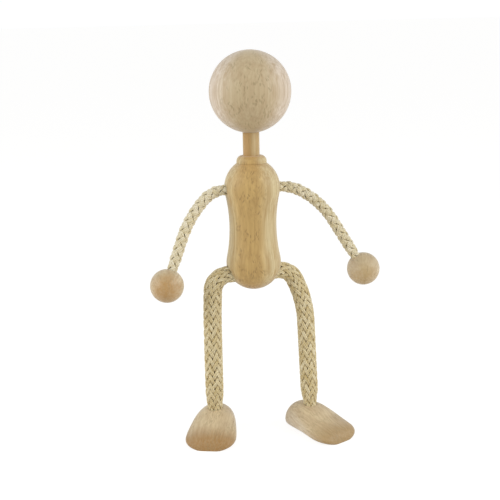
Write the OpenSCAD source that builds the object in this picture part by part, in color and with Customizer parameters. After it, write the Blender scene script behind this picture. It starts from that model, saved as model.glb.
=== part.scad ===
// Wooden puppet with bendable cord limbs, standing.
// It faces -Y, its own left side is +X, and both soles rest on z = 0.
// Each limb is one braided cord with a wire inside. The pair of arms shares a cord
// that runs through the shoulders, and the pair of legs one that runs through the hips.
// A cord's stretches are measured along its route, from where it leaves the torso.

/* [Head and neck] */
// Diameter of the ball head
head_d = 39.2; // [32:0.2:46]
// Depth of the hole for the dowel in the head
head_socket = 13; // [8:0.5:16]
// Diameter of the neck dowel
neck_d = 8; // [6:0.5:10]
// Length of dowel that shows between the collar and the head
neck_show = 11.2; // [7:0.1:16]
// Depth of the hole for the dowel in the torso
neck_socket = 11.3; // [8:0.1:11.5]

/* [Torso] */
// Height of the torso, collar included
torso_h = 66; // [60:0.2:74]
// Width at the shoulders
shoulder_d = 27; // [25:0.2:30]
// Radius of the curve over the shoulders
shoulder_curve = 14.4; // [13.5:0.1:18]
// Distance from the top down to the widest part of the shoulders
shoulder_drop = 15.6; // [13.6:0.1:17]
// Width at the waist
waist_d = 22.9; // [19:0.1:24.5]
// Width at the round hips
hip_d = 26.8; // [25.2:0.2:30]
// Diameter of the collar bead
collar_d = 14.6; // [12:0.2:17]
// Height of the collar bead
collar_h = 3.6; // [3.2:0.1:4.2]
// Radius of the collar's upper edge
collar_round = 2.8; // [1:0.1:3]
// Distance from the top down to the hole for the arm cord
arm_hole_drop = 16.1; // [15:0.1:20]
// Height of the hole for the leg cord above the torso's lowest point
leg_hole_rise = 8.1; // [7:0.1:10]
// Height of the leg cord's hole above the floor
hip_height = 84.4; // [76:0.2:100]

/* [Arms] */
// Diameter of the arm cord
arm_cord_d = 5.4; // [4.5:0.1:6.5]
// Diameter of the wire in the arm cord
arm_wire_d = 1.2; // [0.8:0.1:2]
// Diameter of a ball hand
hand_d = 16.2; // [14:0.2:20]
// Depth of the hole for the cord in a hand
hand_socket = 8; // [5:0.5:10]
// Length of the left arm, from the torso to the middle of its hand
left_arm_len = 62.7; // [58:0.1:75]
// Length of the right arm, from the torso to the middle of its hand
right_arm_len = 56.7; // [54:0.1:75]
// Angle that the left arm turns down in the bend at the torso
left_shoulder_turn = 29; // [15:0.5:45]
// Angle that the right arm turns down in the bend at the torso
right_shoulder_turn = 44.3; // [15:0.1:50]
// Angle that the whole left arm turns down
left_arm_turn = 60; // [46:0.5:70]
// Angle that the whole right arm turns down
right_arm_turn = 68.2; // [51:0.1:75]
// Length of an upper arm, from the bend at the torso to the bend at the elbow
upper_arm_len = 10; // [8:0.5:16]
// Angle that both arms are swung forward
arm_forward = 9; // [0:1:30]

/* [Legs] */
// Diameter of the leg cord
leg_cord_d = 8.8; // [7:0.1:9.6]
// Diameter of the wire in the leg cord
leg_wire_d = 1.6; // [1:0.1:2.4]
// Radius of the left leg's bend at the torso
left_hip_curve = 8.8; // [8:0.1:12]
// Angle that the left leg turns down at the torso
left_hip_turn = 64; // [58:1:75]
// Angle at which the left shin runs, 90 being straight down
left_leg_slope = 88.5; // [86:0.1:90]
// Radius of the right leg's bend at the torso
right_hip_curve = 8.1; // [8:0.1:12]
// Angle that the right leg turns down at the torso
right_hip_turn = 88; // [70:1:88]
// Angle at which the right shin runs, 90 being straight down
right_leg_slope = 91; // [89:0.1:92]
// Length of a thigh, from the bend at the hip to the bend at the knee
thigh_len = 23; // [16:0.5:28]
// Distance that the left foot stands in front of the torso's axis
left_foot_forward = 3.2; // [0:0.1:8]
// Distance that the right foot stands behind the torso's axis
right_foot_back = 6.5; // [0:0.1:8]

/* [Feet] */
// Length of a foot
foot_len = 37.8; // [34:0.2:44]
// Greatest width of a foot, near the toes
foot_w = 26.9; // [22:0.1:30]
// Width of a foot towards the heel
heel_w = 16.6; // [15:0.2:20]
// Greatest height of a foot, in front of the leg
foot_h = 14.3; // [12:0.1:17]
// Height of a foot towards the toes, before they are rounded
toe_h = 7.4; // [5:0.2:9]
// Distance from the back of a foot to the middle of the leg
heel_back = 14; // [13:0.1:17]
// Depth of the hole for the cord in a foot
foot_socket = 7; // [5:0.5:8]
// Angle that the left foot is turned out
left_foot_out = 27; // [0:0.5:45]
// Angle that the right foot is turned out
right_foot_out = 21.5; // [0:0.5:45]

/* [Fits] */
// Gap round a part that turns in its hole
turning_gap = 0.06; // [0.02:0.01:0.1]
// Gap round a part that is glued into its hole
glue_gap = 0.03; // [0.01:0.01:0.06]
// Gap between the end of a part and the bottom of its hole
end_gap = 0.3; // [0.1:0.1:0.6]

/* [Bends] */
// Length of cord that turns in the torso's hole when a limb swings
root_len = 5; // [3:0.5:6]
// Length of arm cord that leaves the torso straight
arm_stub = 0.4; // [0.2:0.1:2]
// Length of leg cord that leaves the torso straight
leg_stub = 0.4; // [0.2:0.1:1]
// Length of cord that bends at a shoulder
shoulder_bend = 11; // [9:0.5:12]
// Length of cord that bends at an elbow
elbow_bend = 12; // [10:0.5:14]
// Length of cord that bends at a knee
knee_bend = 14; // [12:0.5:16]

/* [Hidden] */
$fn = 96;

LIMB_NODES = [
    "arm_root", "arm_root_wire", "shoulder_bend", "shoulder_bend_wire",
    "upper_arm", "upper_arm_wire", "elbow_bend", "elbow_bend_wire",
    "forearm", "forearm_wire", "hand",
    "leg_root", "leg_root_wire", "hip_bend", "hip_bend_wire",
    "thigh", "thigh_wire", "knee_bend", "knee_bend_wire",
    "shin", "shin_wire", "foot"
];

left = 1;
right = -1;

// Heights above the floor
torso_bottom = hip_height - leg_hole_rise;
torso_top = torso_bottom + torso_h;
arm_hole_z = torso_top - arm_hole_drop;
head_r = head_d / 2;
head_centre_z = torso_top + neck_show + sqrt(head_r * head_r - neck_d * neck_d / 4);

// The torso's outline is three arcs that run into each other:
// the shoulders, the hollow waist and the round hips.
shoulder_z = torso_top - shoulder_drop;
shoulder_in = shoulder_d / 2 - shoulder_curve;
hip_z = torso_bottom + hip_d / 2;
waist_r = waist_d / 2;
hip_bulge = hip_d / 2 - waist_r;
shoulder_bulge = shoulder_d / 2 - waist_r;
span_z = shoulder_z - hip_z;
bulge_ratio = shoulder_bulge / hip_bulge;
reach_diff = (shoulder_curve + waist_r - shoulder_in) - (hip_d / 2 + waist_r);
span_part = span_z * span_z - shoulder_bulge * reach_diff;
waist_rise = span_part / (span_z + sqrt(span_z * span_z - (1 - bulge_ratio) * span_part));
waist_z = hip_z + waist_rise;
waist_curve = (waist_rise * waist_rise / hip_bulge - hip_d / 2 - waist_r) / 2;
meets_shoulder_z = shoulder_z + shoulder_curve
    * (waist_z - shoulder_z) / (shoulder_curve + waist_curve);
meets_hip_z = hip_z + hip_d / 2 * waist_rise / (hip_d / 2 + waist_curve);

// A foot's surface is a row of rounded cross-sections from the heel to the toes.
foot_rings = 26;
foot_sides = 28;
// A place along it runs from -1 at the heel to 1 at the toes.
heel_round = 3.1;
toe_round = 3.7;
heel_top_round = 2.8;
toe_top_round = 2.8;
edge_round = 2;
sole_round = 2.2;
sole_inset = 0.7;
widest_share = 0.42;
widest_at = 0.94;
highest_at = -0.18;
low_from = 0.71;
function ease(a, b, v) =
    let (t = min(1, max(0, (v - a) / (b - a))))
    t * t * (3 - 2 * t);
function end_fall(v, n) = pow(max(0, 1 - pow(abs(v), n)), 1 / n);
function bulge(v, n) = sign(v) * pow(abs(v), 2 / n);
function foot_half_w(u) =
    (heel_w + (foot_w - heel_w) * ease(-1, widest_at, u)) / 2 * end_fall(u, u > 0 ? toe_round : heel_round);
function foot_top(u) =
    u > highest_at
    ? (toe_h + (foot_h - toe_h) * (1 - ease(highest_at, low_from, u))) * end_fall(max(0, u), toe_top_round)
    : foot_h * end_fall((u - highest_at) / (1 + highest_at), heel_top_round);
function foot_point(u, a) =
    let (w = foot_half_w(u), h = foot_top(u), zc = widest_share * h)
    [
        w * bulge(cos(a), edge_round),
        heel_back - (u + 1) / 2 * foot_len,
        sin(a) > 0
            ? zc + (h - zc) * bulge(sin(a), edge_round)
            : zc + (zc + sole_inset) * bulge(sin(a), sole_round)
    ];
function foot_u(i) = -cos(90 * (1 - cos(180 * i / foot_rings)));
ankle_h = foot_top(2 * heel_back / foot_len - 1);

// Distance from the torso's axis to its surface at each hole
arm_mouth = shoulder_in + sqrt(pow(shoulder_curve, 2) - pow(arm_hole_z - shoulder_z, 2));
leg_mouth = sqrt(pow(hip_d / 2, 2) - pow(hip_height - hip_z, 2));

// A limb's route lies in a plane through its hole. It starts outwards and turns down.
// Its steps are ["line", length] and ["arc", radius, angle], an angle being negative
// where the route turns back up. Each step is one stretch of the limb's cord.
function arc_step(len, angle) = ["arc", len / angle * 180 / PI, angle];

// Shoulder bend, upper arm, elbow bend and forearm. The upper arm and the elbow bend
// lie on one arc.
function arm_steps(len, shoulder_turn, turn) =
    let (curved = upper_arm_len + elbow_bend, rest = turn - shoulder_turn)
    [
        ["line", arm_stub],
        arc_step(shoulder_bend, shoulder_turn),
        arc_step(upper_arm_len, rest * upper_arm_len / curved),
        arc_step(elbow_bend, rest * elbow_bend / curved),
        ["line", len - arm_stub - shoulder_bend - curved]
    ];

left_arm_steps = arm_steps(left_arm_len, left_shoulder_turn, left_arm_turn);
right_arm_steps = arm_steps(right_arm_len, right_shoulder_turn, right_arm_turn);

// Hip bend, thigh and knee bend
function leg_steps(hip_curve, hip_turn, slope) = [
    ["line", leg_stub],
    ["arc", hip_curve, hip_turn],
    arc_step(thigh_len, slope - hip_turn),
    ["line", knee_bend]
];

// The shin ends in the foot, at the depth of the foot's hole.
function with_shin(steps, slope, swing) =
    let (knee = route_pose(steps, route_len(steps)))
    let (depth = (hip_height - ankle_h + foot_socket - end_gap) / cos(swing))
    concat(steps, [["line", (depth + knee[1]) / sin(slope)]]);

ankle_drop = hip_height - ankle_h;
left_leg_swing = atan(left_foot_forward / ankle_drop);
right_leg_swing = -atan(right_foot_back / ankle_drop);
left_leg_steps = with_shin(
    leg_steps(left_hip_curve, left_hip_turn, left_leg_slope), left_leg_slope, left_leg_swing
);
right_leg_steps = with_shin(
    leg_steps(right_hip_curve, right_hip_turn, right_leg_slope), right_leg_slope, right_leg_swing
);

function step_len(s) = s[0] == "line" ? s[1] : s[1] * abs(s[2]) * PI / 180;
function run_to(steps, i) = i == 0 ? 0 : run_to(steps, i - 1) + step_len(steps[i - 1]);
function route_len(steps) = run_to(steps, len(steps));

// Place and heading [x, z, angle below level] after running a distance along one step
function step_pose(s, at, run) =
    s[0] == "line"
    ? [at[0] + run * cos(at[2]), at[1] - run * sin(at[2]), at[2]]
    : let (way = sign(s[2]), to = at[2] + way * run / s[1] * 180 / PI)
      [at[0] + way * s[1] * (sin(to) - sin(at[2])), at[1] + way * s[1] * (cos(to) - cos(at[2])), to];

// Place and heading at a distance along a route; past its end it runs straight on
function route_pose(steps, run, at = [0, 0, 0], i = 0) =
    i == len(steps)
    ? step_pose(["line"], at, run)
    : run <= step_len(steps[i])
      ? step_pose(steps[i], at, run)
      : route_pose(steps, run - step_len(steps[i]), step_pose(steps[i], at, step_len(steps[i])), i + 1);

// Point in space on a limb: side, distance of the hole's mouth, height of the hole, swing
function limb_point(side, mouth, z, swing, steps, run) =
    let (p = route_pose(steps, run))
    [side * (mouth + p[0]), p[1] * sin(swing), z + p[1] * cos(swing)];

left_arm = [left, arm_mouth, arm_hole_z, arm_forward, left_arm_steps];
right_arm = [right, arm_mouth, arm_hole_z, arm_forward, right_arm_steps];
left_leg = [left, leg_mouth, hip_height, left_leg_swing, left_leg_steps];
right_leg = [right, leg_mouth, hip_height, right_leg_swing, right_leg_steps];
function on_limb(l, run) = limb_point(l[0], l[1], l[2], l[3], l[4], run);

left_hand_at = on_limb(left_arm, left_arm_len);
right_hand_at = on_limb(right_arm, right_arm_len);

// A foot stands where the leg meets its top.
function ankle_run(l, slope) = route_len(l[4]) - (foot_socket - end_gap) / cos(l[3]) / sin(slope);
left_ankle = on_limb(left_leg, ankle_run(left_leg, left_leg_slope));
right_ankle = on_limb(right_leg, ankle_run(right_leg, right_leg_slope));

// A foot's surface
foot_points = [
    for (i = [1 : foot_rings - 1]) for (k = [0 : foot_sides - 1]) foot_point(foot_u(i), 360 * k / foot_sides)
];
function ring_side(i, k) =
    let (a = i * foot_sides + k, b = i * foot_sides + (k + 1) % foot_sides)
    [[a, a + foot_sides, b], [b, a + foot_sides, b + foot_sides]];
foot_faces = concat(
    [for (i = [0 : foot_rings - 3]) for (k = [0 : foot_sides - 1]) for (f = ring_side(i, k)) f],
    [[for (k = [0 : foot_sides - 1]) k]],
    [[for (k = [foot_sides - 1 : -1 : 0]) (foot_rings - 2) * foot_sides + k]]
);

// The origin lies on the floor under the middle of the whole puppet.
function turned(p, a) = [p[0] * cos(a) - p[1] * sin(a), p[0] * sin(a) + p[1] * cos(a)];
left_foot_outline = [for (p = foot_points) turned(p, left_foot_out) + [left_ankle[0], left_ankle[1]]];
right_foot_outline = [for (p = foot_points) turned(p, -right_foot_out) + [right_ankle[0], right_ankle[1]]];
outline_y = [for (p = concat(left_foot_outline, right_foot_outline)) p[1]];
hand_y = [left_hand_at[1] - hand_d / 2, right_hand_at[1] - hand_d / 2];
middle_x = (left_hand_at[0] + right_hand_at[0]) / 2;
middle_y = (min(concat(outline_y, hand_y, [-head_r])) + max(concat(outline_y, [head_r]))) / 2;

wood_pale = "#dcc8a8";
wood_warm = "#c9a66e";
cotton = "#cdbf97";
steel = "#8c8f92";

module placed() {
    translate([-middle_x, -middle_y, 0]) children();
}

// A round bar along one step of a route, hollow if it has a bore
module step_bar(s, at, len, d, bore) {
    if (s[0] == "line") {
        translate([at[0], 0, at[1]]) rotate([0, 90 + at[2], 0]) difference() {
            cylinder(h = len, d = d);
            if (bore > 0) translate([0, 0, -1]) cylinder(h = len + 2, d = bore);
        }
    } else {
        way = sign(s[2]);
        first = way > 0 ? 90 - at[2] - s[2] : -90 - at[2];
        translate([at[0] - way * s[1] * sin(at[2]), 0, at[1] - way * s[1] * cos(at[2])])
            rotate([90, 0, 0]) rotate([0, 0, first])
                rotate_extrude(angle = abs(s[2])) translate([s[1], 0]) difference() {
                    circle(d = d);
                    if (bore > 0) circle(d = bore);
                }
    }
}

// One whole step of a route, counted from 0
module route_bar(steps, i, d, bore) {
    step_bar(steps[i], route_pose(steps, run_to(steps, i)), step_len(steps[i]), d, bore);
}

module on_side(l) {
    placed() translate([0, 0, l[2]]) rotate([-l[3], 0, 0])
        mirror([l[0] < 0 ? 1 : 0, 0, 0]) translate([l[1], 0, 0]) children();
}

// The straight start of a limb, which turns in the torso's hole
module root_bar(steps, d, bore) {
    step_bar(["line"], [-root_len, 0, 0], root_len + step_len(steps[0]), d, bore);
}

// The end of an arm lies inside its hand.
module forearm_bar(steps, d, bore) {
    cut = hand_d / 2 - hand_socket + end_gap;
    step_bar(["line"], route_pose(steps, run_to(steps, 4)), step_len(steps[4]) - cut, d, bore);
}

// What lies between the two turning roots, inside the torso
module middle_bar(z, half_len, d, bore) {
    placed() translate([-half_len, 0, z]) rotate([0, 90, 0]) difference() {
        cylinder(h = 2 * half_len, d = d);
        if (bore > 0) translate([0, 0, -1]) cylinder(h = 2 * half_len + 2, d = bore);
    }
}

module head() {
    color(wood_pale) placed() translate([0, 0, head_centre_z]) difference() {
        sphere(d = head_d);
        translate([0, 0, -head_r - 1]) cylinder(h = head_socket + 1, d = neck_d + 2 * turning_gap);
    }
}

dowel_chamfer = 0.6;
dowel_top = head_centre_z - head_r + head_socket - end_gap;
dowel_bottom = torso_top - neck_socket + end_gap;
module neck_dowel() {
    color(wood_warm) placed() rotate_extrude() polygon([
        [0, dowel_bottom],
        [neck_d / 2 - dowel_chamfer, dowel_bottom],
        [neck_d / 2, dowel_bottom + dowel_chamfer],
        [neck_d / 2, dowel_top - dowel_chamfer],
        [neck_d / 2 - dowel_chamfer, dowel_top],
        [0, dowel_top]
    ]);
}

// Half of the torso's outline, from its axis outwards, in four bands that share a little wood
shared = 1;
module band(from, to) {
    translate([0, from]) square([shoulder_d, to - from]);
}

module shoulder_outline() {
    intersection() {
        translate([shoulder_in, shoulder_z]) circle(r = shoulder_curve);
        band(meets_shoulder_z - shared, torso_top - collar_h);
    }
}

module hip_outline() {
    intersection() {
        translate([0, hip_z]) circle(d = hip_d);
        band(torso_bottom - 1, meets_hip_z + shared);
    }
}

module waist_outline() {
    difference() {
        band(meets_hip_z, meets_shoulder_z);
        translate([waist_r + waist_curve, waist_z]) circle(r = waist_curve, $fn = 720);
    }
}

module collar_outline() {
    translate([0, torso_top - collar_h]) square([collar_d / 2, collar_h - collar_round]);
    translate([0, torso_top - collar_h]) square([collar_d / 2 - collar_round, collar_h]);
    translate([collar_d / 2 - collar_round, torso_top - collar_round]) intersection() {
        circle(r = collar_round);
        square(collar_round);
    }
}

module through_hole(z, d) {
    translate([-shoulder_d, 0, z]) rotate([0, 90, 0]) cylinder(h = 2 * shoulder_d, d = d);
}

module torso() {
    color(wood_warm) placed() difference() {
        rotate_extrude($fn = 180) {
            shoulder_outline();
            hip_outline();
            waist_outline();
            collar_outline();
        }
        translate([0, 0, torso_top - neck_socket]) cylinder(h = neck_socket + 1, d = neck_d + 2 * glue_gap);
        through_hole(arm_hole_z, arm_cord_d + 2 * turning_gap);
        through_hole(hip_height, leg_cord_d + 2 * turning_gap);
    }
}

module hand(l, at_run) {
    p = route_pose(l[4], at_run);
    color(wood_pale) on_side(l) translate([p[0], 0, p[1]]) rotate([0, p[2] - 90, 0]) difference() {
        sphere(d = hand_d);
        translate([0, 0, hand_d / 2 - hand_socket])
            cylinder(h = hand_socket + 1, d = arm_cord_d + 2 * glue_gap);
    }
}

module foot(l, ankle, out) {
    color(wood_pale) difference() {
        placed() translate([ankle[0], ankle[1], 0]) rotate([0, 0, l[0] * out])
            difference() {
                polyhedron(points = foot_points, faces = foot_faces, convexity = 4);
                translate([-foot_len, -foot_len, -foot_h]) cube([2 * foot_len, 2 * foot_len, foot_h]);
            }
        on_side(l) {
            p = route_pose(l[4], route_len(l[4]) + end_gap);
            translate([p[0], 0, p[1]]) rotate([0, p[2] - 90, 0])
                cylinder(h = foot_h, d = leg_cord_d + 2 * turning_gap);
        }
    }
}

// A stretch of cord is hollow for its wire.
arm_bore = arm_wire_d + 2 * glue_gap;
leg_bore = leg_wire_d + 2 * glue_gap;

module arm_cord_middle() {
    color(cotton) middle_bar(arm_hole_z, arm_mouth - root_len, arm_cord_d, arm_bore);
}

module arm_wire_middle() {
    color(steel) middle_bar(arm_hole_z, arm_mouth - root_len, arm_wire_d, 0);
}

module leg_cord_middle() {
    color(cotton) middle_bar(hip_height, leg_mouth - root_len, leg_cord_d, leg_bore);
}

module leg_wire_middle() {
    color(steel) middle_bar(hip_height, leg_mouth - root_len, leg_wire_d, 0);
}

// Draws the piece of one limb that has this name
module arm_piece(name, l, len) {
    steps = l[4];
    color(cotton) on_side(l) {
        if (name == "arm_root") root_bar(steps, arm_cord_d, arm_bore);
        if (name == "shoulder_bend") route_bar(steps, 1, arm_cord_d, arm_bore);
        if (name == "upper_arm") route_bar(steps, 2, arm_cord_d, arm_bore);
        if (name == "elbow_bend") route_bar(steps, 3, arm_cord_d, arm_bore);
        if (name == "forearm") forearm_bar(steps, arm_cord_d, arm_bore);
    }
    color(steel) on_side(l) {
        if (name == "arm_root_wire") root_bar(steps, arm_wire_d, 0);
        if (name == "shoulder_bend_wire") route_bar(steps, 1, arm_wire_d, 0);
        if (name == "upper_arm_wire") route_bar(steps, 2, arm_wire_d, 0);
        if (name == "elbow_bend_wire") route_bar(steps, 3, arm_wire_d, 0);
        if (name == "forearm_wire") forearm_bar(steps, arm_wire_d, 0);
    }
    if (name == "hand") hand(l, len);
}

module leg_piece(name, l, ankle, out) {
    steps = l[4];
    color(cotton) on_side(l) {
        if (name == "leg_root") root_bar(steps, leg_cord_d, leg_bore);
        if (name == "hip_bend") route_bar(steps, 1, leg_cord_d, leg_bore);
        if (name == "thigh") route_bar(steps, 2, leg_cord_d, leg_bore);
        if (name == "knee_bend") route_bar(steps, 3, leg_cord_d, leg_bore);
        if (name == "shin") route_bar(steps, 4, leg_cord_d, leg_bore);
    }
    color(steel) on_side(l) {
        if (name == "leg_root_wire") root_bar(steps, leg_wire_d, 0);
        if (name == "hip_bend_wire") route_bar(steps, 1, leg_wire_d, 0);
        if (name == "thigh_wire") route_bar(steps, 2, leg_wire_d, 0);
        if (name == "knee_bend_wire") route_bar(steps, 3, leg_wire_d, 0);
        if (name == "shin_wire") route_bar(steps, 4, leg_wire_d, 0);
    }
    if (name == "foot") foot(l, ankle, out);
}

head();
neck_dowel();
torso();
arm_cord_middle();
arm_wire_middle();
leg_cord_middle();
leg_wire_middle();
for (name = LIMB_NODES) {
    union() {
        arm_piece(name, left_arm, left_arm_len);
        leg_piece(name, left_leg, left_ankle, left_foot_out);
    }
    union() {
        arm_piece(name, right_arm, right_arm_len);
        leg_piece(name, right_leg, right_ankle, right_foot_out);
    }
}
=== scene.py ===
"""A raw wooden puppet with braided cotton limbs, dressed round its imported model."""

import logging
import math
import random
from dataclasses import dataclass
from enum import Enum
from functools import partial

import bpy
import numpy as np
from mathutils import Matrix, Vector


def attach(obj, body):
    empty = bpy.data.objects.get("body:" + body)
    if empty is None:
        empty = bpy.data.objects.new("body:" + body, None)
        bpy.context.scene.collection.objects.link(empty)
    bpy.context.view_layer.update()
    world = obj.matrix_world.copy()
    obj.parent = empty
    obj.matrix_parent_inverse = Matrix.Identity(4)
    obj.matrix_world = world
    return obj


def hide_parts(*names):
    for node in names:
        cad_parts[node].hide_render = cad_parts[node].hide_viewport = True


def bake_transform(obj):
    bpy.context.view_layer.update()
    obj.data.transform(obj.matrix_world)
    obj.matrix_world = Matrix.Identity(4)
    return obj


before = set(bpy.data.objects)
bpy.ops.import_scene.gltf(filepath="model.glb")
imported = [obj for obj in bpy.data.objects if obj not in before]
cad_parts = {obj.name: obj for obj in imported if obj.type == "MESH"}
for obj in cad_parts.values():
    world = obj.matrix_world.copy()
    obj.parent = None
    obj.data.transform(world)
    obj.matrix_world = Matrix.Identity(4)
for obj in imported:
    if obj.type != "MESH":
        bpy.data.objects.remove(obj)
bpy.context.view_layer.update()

log = logging.getLogger("puppet")

MM = 0.001
IMAGE_PX = 500
SENSOR_MM = 36.0

# Where the torso's axis stands in the part's frame, in millimetres
TORSO_AXIS = (-4.98191, 3.47147)

# How long each piece of a wire's mesh is, in millimetres, and how many sides it has
WIRE_STEP, WIRE_SIDES = 0.9, 16

# At a scale of 1 a wave texture repeats at this length.
WAVE_LENGTH = 2 * math.pi / 20

# A Mix node's sockets for colours, whose names its number sockets have too
MIX_SHARE, MIX_FROM, MIX_TO, MIXED = 0, 6, 7, 2


def linear(hex_colour: str) -> tuple[float, float, float, float]:
    """Turns an sRGB colour into the linear one that a shader works in.

    Args:
        hex_colour: the colour as #rrggbb.

    Returns:
        Linear red, green, blue and an alpha of 1.
    """
    parts = [int(hex_colour[i:i + 2], 16) / 255 for i in (1, 3, 5)]
    low = [p / 12.92 if p <= 0.04045 else ((p + 0.055) / 1.055) ** 2.4 for p in parts]
    return (low[0], low[1], low[2], 1.0)


def add_node(tree: bpy.types.NodeTree, kind: str, inputs: dict | None = None,
             stops: tuple[tuple[float, str], ...] = (), **settings) -> bpy.types.Node:
    """Adds a shader node with its settings, values and links.

    Args:
        tree: the material's node tree.
        kind: the node's type.
        inputs: what goes in each socket: a value, an output, or a node whose first output is meant.
        stops: the place and hex colour of each stop of a colour ramp.
        **settings: properties of the node itself.

    Returns:
        The new node.
    """
    node = tree.nodes.new(kind)
    for name, value in settings.items():
        setattr(node, name, value)
    for key, value in (inputs or {}).items():
        if isinstance(value, (bpy.types.Node, bpy.types.NodeSocket)):
            tree.links.new(getattr(value, "outputs", [value])[0], node.inputs[key])
        else:
            node.inputs[key].default_value = value
    for number, (place, tone) in enumerate(stops):
        elements = node.color_ramp.elements
        element = elements[number] if number < len(elements) else elements.new(place)
        element.position, element.color = place, linear(tone)
    return node


def new_material(name: str) -> tuple[bpy.types.Material, bpy.types.NodeTree, bpy.types.Node]:
    """Makes an empty material.

    Args:
        name: what the finish is called.

    Returns:
        The material, its node tree and its output node.
    """
    material = bpy.data.materials.new(name)
    material.use_nodes = True
    material.node_tree.nodes.clear()
    output = material.node_tree.nodes.new("ShaderNodeOutputMaterial")
    return material, material.node_tree, output


def dress(piece: bpy.types.Object, finish: bpy.types.Material) -> None:
    """Gives a piece one finish and no other."""
    piece.data.materials.clear()
    piece.data.materials.append(finish)


@dataclass(frozen=True)
class RawBeech:
    """Turned or sanded beech with no varnish, which looks dull and pale, with fibres and short dark flecks.

    Sizes are in millimetres. The heart is a point on the line that the tree's rings run round. The flat
    colour shows where the surface lies along the rings and the edge colour where it cuts across them. On a
    ball or a turned body the edge colour falls at its sides, where it is paler partly as the wood's own
    quarter-sawn face and partly as painted sheen. Each share, from 0 to 1, says how strongly its part of the
    pattern shows. Where painted shade darkens the wood towards one end, the span of that painted shade says
    from where to where along the grain, and by what share.
    """

    name: str
    flat: str
    edge: str
    late: str
    ray: str
    end: str
    heart: tuple[float, float, float]
    grain: tuple[float, float, float] = (0.0, 0.0, 1.0)
    ring: float = 2.8
    ring_share: float = 0.1
    streak_share: float = 0.5
    band_share: float = 0.3
    rays: float = 60.0
    ray_share: float = 0.6
    end_share: float = 0.6
    end_from: float = 0.5
    painted_shade_span: tuple[float, float, float] | None = None

    def material(self) -> bpy.types.Material:
        """Builds the wood's material.

        Returns:
            The material, whose pattern lies in the part's own frame.
        """
        material, tree, output = new_material(self.name)
        add = partial(add_node, tree)
        along = Vector(self.grain).normalized()
        to_grain = along.rotation_difference(Vector((0, 0, 1))).to_matrix()
        here = add("ShaderNodeTexCoord")
        wood = add("ShaderNodeMapping", {
            "Vector": here.outputs["Object"], "Location": -(to_grain @ Vector(self.heart)),
            "Rotation": to_grain.to_euler(), "Scale": (1 / MM,) * 3,
        })
        facing = add("ShaderNodeMapping", {
            "Vector": here.outputs["Normal"], "Rotation": to_grain.to_euler(),
        }, vector_type="VECTOR")
        outward = add("ShaderNodeVectorMath", {0: wood, 1: (1.0, 1.0, 0.0)}, operation="MULTIPLY")

        # Beech has faint rings, 2 to 4 mm apart, that waver a little.
        rings = add("ShaderNodeTexWave", {
            "Vector": wood, "Scale": WAVE_LENGTH / self.ring, "Distortion": 3.0, "Detail": 3.0,
            "Detail Scale": 0.5,
        }, wave_type="RINGS", rings_direction="Z", wave_profile="SIN").outputs["Fac"]

        # Fibres run with the grain, in streaks about a millimetre wide that lie in bands of about 3 mm.
        # Single fibres are too fine to show.
        stretched = add("ShaderNodeMapping", {"Vector": wood, "Scale": (1, 1, 0.03)})
        fibres = add("ShaderNodeTexNoise", {
            "Vector": stretched, "Scale": 1.1, "Detail": 2.0, "Roughness": 0.6,
        })
        bands = add("ShaderNodeTexNoise", {"Vector": stretched, "Scale": 0.34, "Detail": 1.0})
        streaks = add("ShaderNodeMapRange", {"Value": fibres, "From Min": 0.34, "From Max": 0.68})
        tint = add("ShaderNodeMapRange", {"Value": bands, "From Min": 0.36, "From Max": 0.64})

        # Rays are thin sheets that stand out from the heart. A surface along the rings cuts them to dark
        # dashes about 2 mm long. They are drawn 0.5 mm wide, twice as wide as real, so that they show.
        split = add("ShaderNodeSeparateXYZ", {0: wood})
        bearing = add("ShaderNodeMath", {0: split.outputs[1], 1: split.outputs[0]}, operation="ARCTAN2")
        distance = add("ShaderNodeVectorMath", {0: outward}, operation="LENGTH").outputs["Value"]
        waver = add("ShaderNodeTexNoise", {"Vector": wood, "Scale": 0.2, "Detail": 1.0})
        wide_waver = add("ShaderNodeMath", {0: waver, 1: 5.0}, operation="MULTIPLY")
        sheets = add("ShaderNodeCombineXYZ", {
            0: add("ShaderNodeMath", {0: bearing, 1: self.rays, 2: wide_waver}, operation="MULTIPLY_ADD"),
            1: add("ShaderNodeMath", {0: distance, 1: 0.06}, operation="MULTIPLY"),
            2: add("ShaderNodeMath", {0: split.outputs[2], 1: 0.4}, operation="MULTIPLY"),
        })
        cells = add("ShaderNodeTexVoronoi", {
            "Vector": sheets, "Scale": 1.0, "Randomness": 0.9,
        }, feature="F1")
        dashes = add("ShaderNodeMapRange", {
            "Value": cells.outputs["Distance"], "From Min": 0.46, "From Max": 0.2,
        }, interpolation_type="SMOOTHSTEP")
        patches = add("ShaderNodeMapRange", {
            "Value": add("ShaderNodeTexNoise", {"Vector": wood, "Scale": 0.17, "Detail": 2.0}),
            "From Min": 0.4, "From Max": 0.6, "To Min": 0.1,
        })

        # How far the surface lies along the rings, and how far across the fibres
        level = add("ShaderNodeVectorMath", {0: facing, 1: (1.0, 1.0, 0.0)}, operation="MULTIPLY")
        lies_flat = add("ShaderNodeVectorMath", {
            0: add("ShaderNodeVectorMath", {0: level}, operation="NORMALIZE"),
            1: add("ShaderNodeVectorMath", {0: outward}, operation="NORMALIZE"),
        }, operation="DOT_PRODUCT").outputs["Value"]
        flatness = add("ShaderNodeMapRange", {
            "Value": add("ShaderNodeMath", {0: lies_flat}, operation="ABSOLUTE"),
            "From Min": 0.78, "From Max": 0.99,
        }, interpolation_type="SMOOTHSTEP")
        turned = add("ShaderNodeSeparateXYZ", {0: facing})
        end_grain_and_painted_shade = add("ShaderNodeMapRange", {
            "Value": add("ShaderNodeMath", {0: turned.outputs[2]}, operation="ABSOLUTE"),
            "From Min": self.end_from, "From Max": 1.0, "To Max": self.end_share,
        })
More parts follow.
